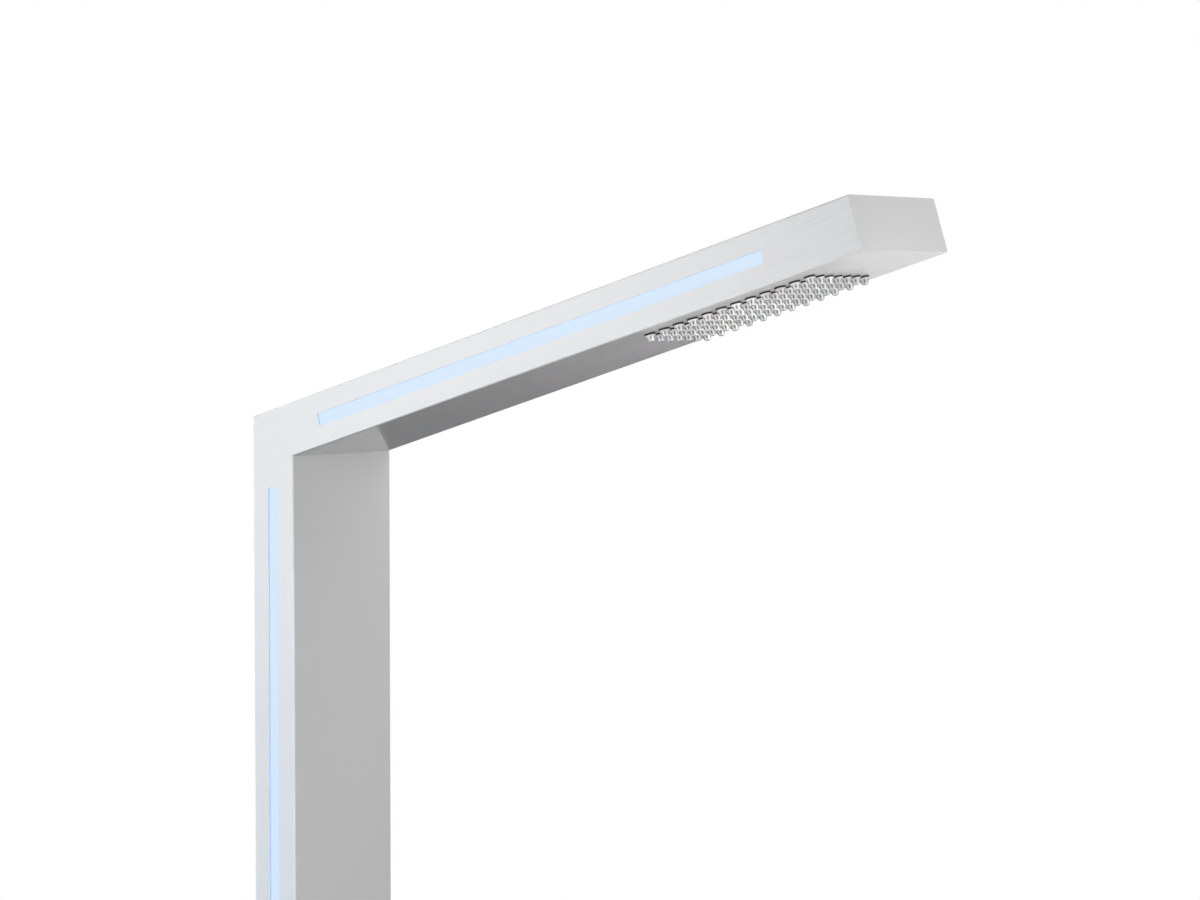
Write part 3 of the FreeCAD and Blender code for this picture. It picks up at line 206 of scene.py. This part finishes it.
# Washers, gaskets, packers, collars of the nozzles and sheathed leads: moulded black rubber with a
# grey bloom, pressed between the pieces that they seal.
rubber, tap, shader = new_finish("black_rubber", {})
bloom = grain(tap, 0.002)
tap.feed(shader.inputs["Base Color"], bloom.mix((0.012, 0.012, 0.013, 1), (0.030, 0.030, 0.031, 1)))
tap.feed(shader.inputs["Roughness"], bloom.spread(0.3, 0.7, 0.45, 0.7))
relief(tap, shader, grain(tap, 0.0004), 0.00002, 0.3)
coat_nodes(
    rubber, "door_gasket", "valve_washers", "cartridge_seal", "union_washer", "chamber_packers", "nozzle_gasket",
    "nozzle_collars", "gland_seal", "corner_leads", "driver_leads",
)


# Moulded plastics: grey clips, gland and cartridge housing, white water chamber and small mixer
# pieces, with the fine spark texture of the mould.
for name, low, high, nodes in (
    ("grey_plastic", (0.19, 0.20, 0.21, 1), (0.26, 0.27, 0.28, 1),
     ("supply_pipe_clips", "riser_clips", "cable_gland", "gland_nut", "cartridge_housing")),
    ("white_plastic", (0.72, 0.72, 0.71, 1), (0.80, 0.80, 0.79, 1),
     ("head_chamber", "spray_plate", "lever_guide", "disc_driver", "column_light_boards", "arm_light_boards")),
):
    plastic, tap, shader = new_finish(name, {})
    tap.feed(shader.inputs["Base Color"], grain(tap, 0.02).mix(low, high))
    tap.feed(shader.inputs["Roughness"], grain(tap, 0.004).spread(0.3, 0.7, 0.42, 0.58))
    relief(tap, shader, grain(tap, 0.0006), 0.00003, 0.4)
    coat_nodes(plastic, *nodes)


# Discs of the mixing cartridge: dense white ceramic, pressed and fired, then lapped smooth on the
# faces that slide on each other.
ceramic, tap, shader = new_finish("ceramic", {})
fired = grain(tap, 0.003)
tap.feed(shader.inputs["Base Color"], fired.mix((0.80, 0.80, 0.77, 1), (0.88, 0.88, 0.86, 1)))
tap.feed(shader.inputs["Roughness"], fired.spread(0.3, 0.7, 0.12, 0.2))
coat_nodes(ceramic, "fixed_disc", "moving_disc")


# Trim of the mixer: square plate, ring nut, dome and lever in polished stainless steel. Fine
# polishing lines run down the lever and the plate.
polished, tap, shader = new_finish("polished_stainless", {"Metallic": 1.0})
polish = grain(tap, 0.0005, 2.0, (1, 1, 60))
tap.feed(shader.inputs["Base Color"], grain(tap, 0.03).mix((0.66, 0.66, 0.65, 1), (0.74, 0.74, 0.73, 1)))
tap.feed(shader.inputs["Roughness"], polish.spread(0.3, 0.7, 0.14, 0.22))
relief(tap, shader, polish, 0.00001, 0.06)
for node, body in (
    ("mixer_escutcheon", "frame"), ("mixer_ring_nut", "frame"), ("swivel_dome", "guide"), ("lever_handle", "lever"),
):
    smooth_copy(node, polished, body)


# Lines of light: frosted acrylic bars in aluminium troughs behind slots in both sides, lit evenly
# from behind. Their faces stand 2 mm below the lacquer. A thin glowing sheet round each bar lines
# the wall of its slot: painted light, the deeper blue glow that the bar casts on the lacquer wall.
def grid_quads(rows, columns, closed):
    """Quads between the neighbours of a grid. Its columns meet end to end, and so do its rows where it is closed."""
    row, column = np.meshgrid(np.arange(rows if closed else rows - 1), np.arange(columns), indexing="ij")
    here, below, after = row * columns, (row + 1) % rows * columns, (column + 1) % columns
    return np.stack([here + column, here + after, below + after, below + column], axis=-1).reshape(-1, 4)


def add_piece(name, points, quads, finish):
    """A piece from arrays of points and quads. The sign of the volume that they close turns its faces outward."""
    a, b, c, d = points[quads].transpose(1, 0, 2)
    if np.sum(np.cross(c - a, d - b) * (a + b + c + d)) < 0:
        quads = quads[:, ::-1]
    mesh = bpy.data.meshes.new(name)
    mesh.from_pydata(points.tolist(), [], quads.tolist())
    mesh.materials.append(finish)
    piece = bpy.data.objects.new(name, mesh)
    bpy.context.scene.collection.objects.link(piece)
    return piece


def painted_slot_glow(name, start, slope, low, high, hand):
    """A glowing sheet round a slot's wall from low to high along a line of a side, which starts at x and z and has a
    slope:
    painted light, the blue glow of the bar on the lacquer wall. Quarter turns about the slot's four corner centres
    give an outline, and the four corners of a small section, each an inset from the wall and a depth below the side,
    are carried along it."""
    corner, half = 0.001, 0.006
    turn = np.linspace(0, math.pi / 2, 5) + np.arange(4)[:, None] * math.pi / 2
    inset, depth = np.array([(0.03, 1.95), (0.03, 0.2), (0.11, 0.2), (0.11, 1.95)]).T / 1000
    reach = (corner - inset)[:, None, None]
    ends = np.array([high - corner, low + corner, low + corner, high - corner])[:, None]
    edges = np.array([half - corner, half - corner, corner - half, corner - half])[:, None]
    along = (ends + reach * np.cos(turn)).reshape(4, 20)
    across = (edges + reach * np.sin(turn)).reshape(4, 20)
    x = start[0] + along * math.cos(slope) - across * math.sin(slope)
    z = start[1] + along * math.sin(slope) + across * math.cos(slope)
    y = hand * (half_width - np.broadcast_to(depth[:, None], x.shape))
    piece = add_piece(name, np.stack([x, y, z], axis=-1).reshape(-1, 3), grid_quads(4, 20, True), glow_finish)
    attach(piece, "frame")


trough, tap, shader = new_finish("anodised_aluminium", {"Metallic": 1.0})
drawn = grain(tap, 0.0008, 2.0, (30, 1, 30))
tap.feed(shader.inputs["Base Color"], drawn.mix((0.62, 0.63, 0.64, 1), (0.74, 0.75, 0.76, 1)))
tap.feed(shader.inputs["Roughness"], drawn.spread(0.3, 0.7, 0.34, 0.48))
coat_nodes(trough, "column_light_channels", "arm_light_channels", "light_driver")

diffuser, tap, shader = new_finish("frosted_diffuser", {"Roughness": 0.5, "Emission Strength": 1.0})
frost = grain(tap, 0.004)
tap.feed(shader.inputs["Base Color"], frost.mix((0.10, 0.12, 0.14, 1), (0.13, 0.15, 0.17, 1)))
tap.feed(shader.inputs["Emission Color"], frost.mix((0.54, 0.65, 0.78, 1), (0.56, 0.66, 0.79, 1)))
coat_nodes(diffuser, "column_diffusers", "arm_diffusers")

# Painted light: the sheets on the slot walls glow blue, in place of the light of the bars falling on the lacquer
# walls.
glow_finish, tap, shader = new_finish("painted_wall_glow", {"Roughness": 0.4, "Emission Strength": 1.0})
frost = grain(tap, 0.004)
tap.feed(shader.inputs["Base Color"], frost.mix((0.10, 0.12, 0.14, 1), (0.13, 0.15, 0.17, 1)))
tap.feed(shader.inputs["Emission Color"], frost.mix((0.30, 0.50, 0.86, 1), (0.34, 0.53, 0.88, 1)))
middle = 0.025  # of the arm, above its underside
arm_start = (corner_x - middle * math.sin(rise), corner_z + middle * math.cos(rise))
for side_name, hand in (("near", -1), ("far", 1)):
    painted_slot_glow("column_wall_glow_" + side_name, (-0.06, 0.0), math.pi / 2, 0.2, 2.0295, hand)
    painted_slot_glow("arm_wall_glow_" + side_name, arm_start, rise, 0.0405, 0.558, hand)


# Spray nozzles: moulded clear silicone, each pushed through a hole in the underside of the arm
# and a dark collar, with a wide rim, a waist and a narrow tip, and a flange inside the wall. Six
# shallow flutes run down the waist. The flutes, the bore and the neck are painted darker: painted
# shade for the dark that shows through the clear silicone.
def nozzle_field(radius, height, columns, rows):
    """Points of a field of nozzles: each is a grid of radius by step of the outline and turn about the nozzle's own
    axis, square to the underside, and the axes stand on a grid of distances along the arm by places across it."""
    along, across = np.meshgrid(columns, rows)
    turn = np.linspace(0, 2 * math.pi, radius.shape[1], endpoint=False)
    s = along.reshape(-1, 1, 1) + radius * np.cos(turn)
    y = across.reshape(-1, 1, 1) + radius * np.sin(turn)
    h = np.broadcast_to(height[:, None], s.shape)
    x = corner_x + s * math.cos(rise) - h * math.sin(rise)
    z = corner_z + s * math.sin(rise) + h * math.cos(rise)
    return np.stack([x, y, z], axis=-1).reshape(-1, 3)


# A nozzle's outline from its flange to its bore, and back up the bore: radius and height in
# millimetres, then how far the flutes (cut, and painted dark as shade) and the painted shade of the
# neck and bore are there, from 0 to 1.
radius, height, flute, shade = np.array([
    (5.2, 4.4, 0, 0), (5.2, 3.0, 0, 0), (3.5, 3.0, 0, 0), (3.5, -1.5, 0, 0.3), (4.7, -1.5, 0, 0.1),
    (4.95, -1.65, 0, 0), (5.0, -2.0, 0, 0), (4.9, -2.4, 0, 0), (4.5, -2.9, 0.4, 0), (4.0, -3.9, 1, 0),
    (3.6, -5.0, 1, 0), (3.3, -5.9, 0.8, 0), (3.0, -6.7, 0.3, 0.05), (2.7, -7.25, 0, 0.1), (2.2, -7.5, 0, 0.15),
    (0.8, -7.5, 0, 0.8), (0.8, 4.4, 0, 0.8),
]).T
flute_depth, flute_turn = 0.35, np.tile([1, 0.25, 0, 0.25], 6)
flutes = flute[:, None] * flute_turn
columns, rows = np.linspace(0.4090, 0.58225, 12), np.linspace(-0.0462, 0.0462, 7)
count = columns.size * rows.size
silicone, tap, shader = new_finish("clear_silicone", {
    "IOR": 1.41, "Transmission Weight": 0.1, "Coat Weight": 0.5, "Coat Roughness": 0.04,
})
# Painted shade: the base colour runs from white to near black along the flutes, in the bore and at the neck.
painted_dark = tap.add("ShaderNodeAttribute", out="Fac", attribute_name="painted_shade") + 0.06 * grain(tap, 0.003)
tap.feed(shader.inputs["Base Color"], painted_dark.mix((0.98, 0.99, 0.99, 1), (0.1, 0.105, 0.108, 1)))
tap.feed(shader.inputs["Roughness"], grain(tap, 0.003).spread(0.3, 0.7, 0.06, 0.12))
points = nozzle_field((radius[:, None] - flute_depth * flutes) / 1000, height / 1000, columns, rows)
copies = np.arange(count)[:, None, None] * flutes.size
quads = (copies + grid_quads(*flutes.shape, True)).reshape(-1, 4)
nozzles = add_piece("nozzles", points, quads, silicone)
painted_shade = np.tile((shade[:, None] + flutes).ravel(), count)
nozzles.data.attributes.new("painted_shade", "FLOAT", "POINT").data.foreach_set("value", painted_shade)
nozzles.data.shade_smooth()
nozzles.data.set_sharp_from_angle(angle=math.radians(50))
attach(nozzles, "frame")
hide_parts("spray_nozzles")


# Stage: a pale round floor of paving that fades into a white studio, with soft square lamps on
# all sides and the camera. The lamps don't show in the picture.
def floor_disc(radii, segments):
    """Points of a flat disc: rings of the given radii about the origin, half a millimetre below the base plate."""
    radius, turn = np.meshgrid(radii, np.linspace(0, 2 * math.pi, segments, endpoint=False), indexing="ij")
    return np.stack([radius * np.cos(turn), radius * np.sin(turn), 0 * radius - 0.0005], axis=-1).reshape(-1, 3)


paving, tap, shader = new_finish("paving", {"Roughness": 0.8})
tap.feed(shader.inputs["Base Color"], grain(tap, 0.3).mix((0.38, 0.38, 0.38, 1), (0.42, 0.42, 0.42, 1)))
where = tap.add("ShaderNodeTexCoord", out="Object")
away = tap.add("ShaderNodeVectorMath", {0: where}, out="Value", operation="LENGTH")
tap.feed(shader.inputs["Alpha"], away.spread(1.6, 4.6, 1.0, 0.0))
seen = tap.add("ShaderNodeLightPath", out="Is Camera Ray")
glow = tap.add("ShaderNodeEmission", {"Color": (1, 1, 1, 1), "Strength": 1.0})
pale = tap.add("ShaderNodeMixShader", {
    0: seen * away.spread(0.5, 4.0, 0.55, 0.9), 1: Tap(tap.tree, shader.outputs[0]), 2: glow,
})
tap.feed(tap.tree.nodes["Material Output"].inputs["Surface"], pale)
rings, segments = 41, 96
points = floor_disc(np.linspace(0.02, 5.0, rings), segments)
add_piece("floor", points, grid_quads(rings, segments, False)[:, ::-1], paving)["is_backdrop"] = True


def lamp(name, place, target, size, power, colour=(1, 1, 1), spread=180, mirrored=True):
    """A square soft lamp aimed at a target, which spreads over an angle in degrees and may show in mirrors."""
    light = bpy.data.lights.new(name, "AREA")
    light.size = size
    light.energy = power
    light.color = colour
    light.spread = math.radians(spread)
    holder = bpy.data.objects.new(name, light)
    holder.visible_camera = False
    holder.visible_glossy = mirrored
    holder.location = place
    x, y, z = (b - a for a, b in zip(place, target))
    holder.rotation_euler = (math.atan2(math.hypot(x, y), -z), 0, math.atan2(y, x) - math.pi / 2)
    bpy.context.scene.collection.objects.link(holder)


lamp("key", (-0.03, -1.1, 2.19), (-0.03, 0, 2.13), 0.7, 9.1, (0.97, 1.0, 1.03), 180, False)
lamp("near", (1.0, -1.7, 1.85), (0.4, 0, 2.15), 0.8, 7.8, (1.04, 1.0, 0.955))
lamp("key_low", (-0.35, -1.6, 0.75), (-0.06, 0, 0.75), 0.8, 2.2, (0.9, 1.0, 1.1), 62)
lamp("cool", (-0.3, -1.0, 1.2), (-0.06, 0, 1.45), 0.6, 0.22, (0.05, 0.45, 1.0), 60, False)
lamp("front", (3.2, 0.6, 2.2), (0.0, 0, 1.9), 1.4, 11.8)
lamp("front_low", (1.9, 0.4, 0.6), (-0.03, 0, 0.6), 0.8, 2.2, (1, 1, 1), 55)
lamp("top", (2.2, 0.5, 3.2), (0.4, 0, 2.2), 1.0, 14.4)
lamp("tip", (0.8, 0.05, 1.9), (0.6, 0, 2.24), 0.2, 0.84)
lamp("nozzles", (1.6, -0.22, 1.93), (0.44, 0, 2.17), 0.1, 0.034, (1, 1, 1), 12)
lamp("far", (0.0, 2.2, 2.1), (0.03, 0, 1.9), 1.2, 16.0, (1, 1, 1), 180, False)
lamp("gleam", (0.19, 2.2, 1.9), (0.3, 0, 2.1), 1.4, 5.0)
lamp("far_low", (-0.2, 1.9, 0.7), (-0.06, 0, 0.7), 0.8, 3.0, (1, 1, 1), 60)
lamp("back", (-2.4, 0.2, 1.9), (-0.1, 0, 1.5), 1.4, 18.0)

world = bpy.data.worlds.new("studio")
world.use_nodes = True
bpy.context.scene.world = world
tap = Tap(world.node_tree)
way = tap.add("ShaderNodeTexCoord", out="Generated")
height = tap.add("ShaderNodeSeparateXYZ", {0: way}, out="Z")
seen, passed, mirrored = (
    tap.add("ShaderNodeLightPath", out=ray) for ray in ("Is Camera Ray", "Is Transmission Ray", "Is Glossy Ray")
)
white = (seen + passed + mirrored * height.spread(-0.15, 0.05, 0.0, 1.0)).spread(0, 1, 0, 1)
soft = height.spread(-0.3, 0.3, 0.06, 0.12)
background = world.node_tree.nodes["Background"]
background.inputs["Color"].default_value = (1, 1, 1, 1)
tap.feed(background.inputs["Strength"], white + (1 - white) * soft)

camera_data = bpy.data.cameras.new("camera")
camera_data.sensor_width = 36.0
camera_data.lens = 98.04
camera_data.clip_end = 50.0
camera = bpy.data.objects.new("camera", camera_data)
camera.location = (1.979, -2.4746, 2.2137)
camera.rotation_euler = (math.radians(90 - 2.71), 0, math.radians(34.63))
bpy.context.scene.collection.objects.link(camera)
bpy.context.scene.camera = camera
bpy.context.scene.view_settings.view_transform = "Standard"

low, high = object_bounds()
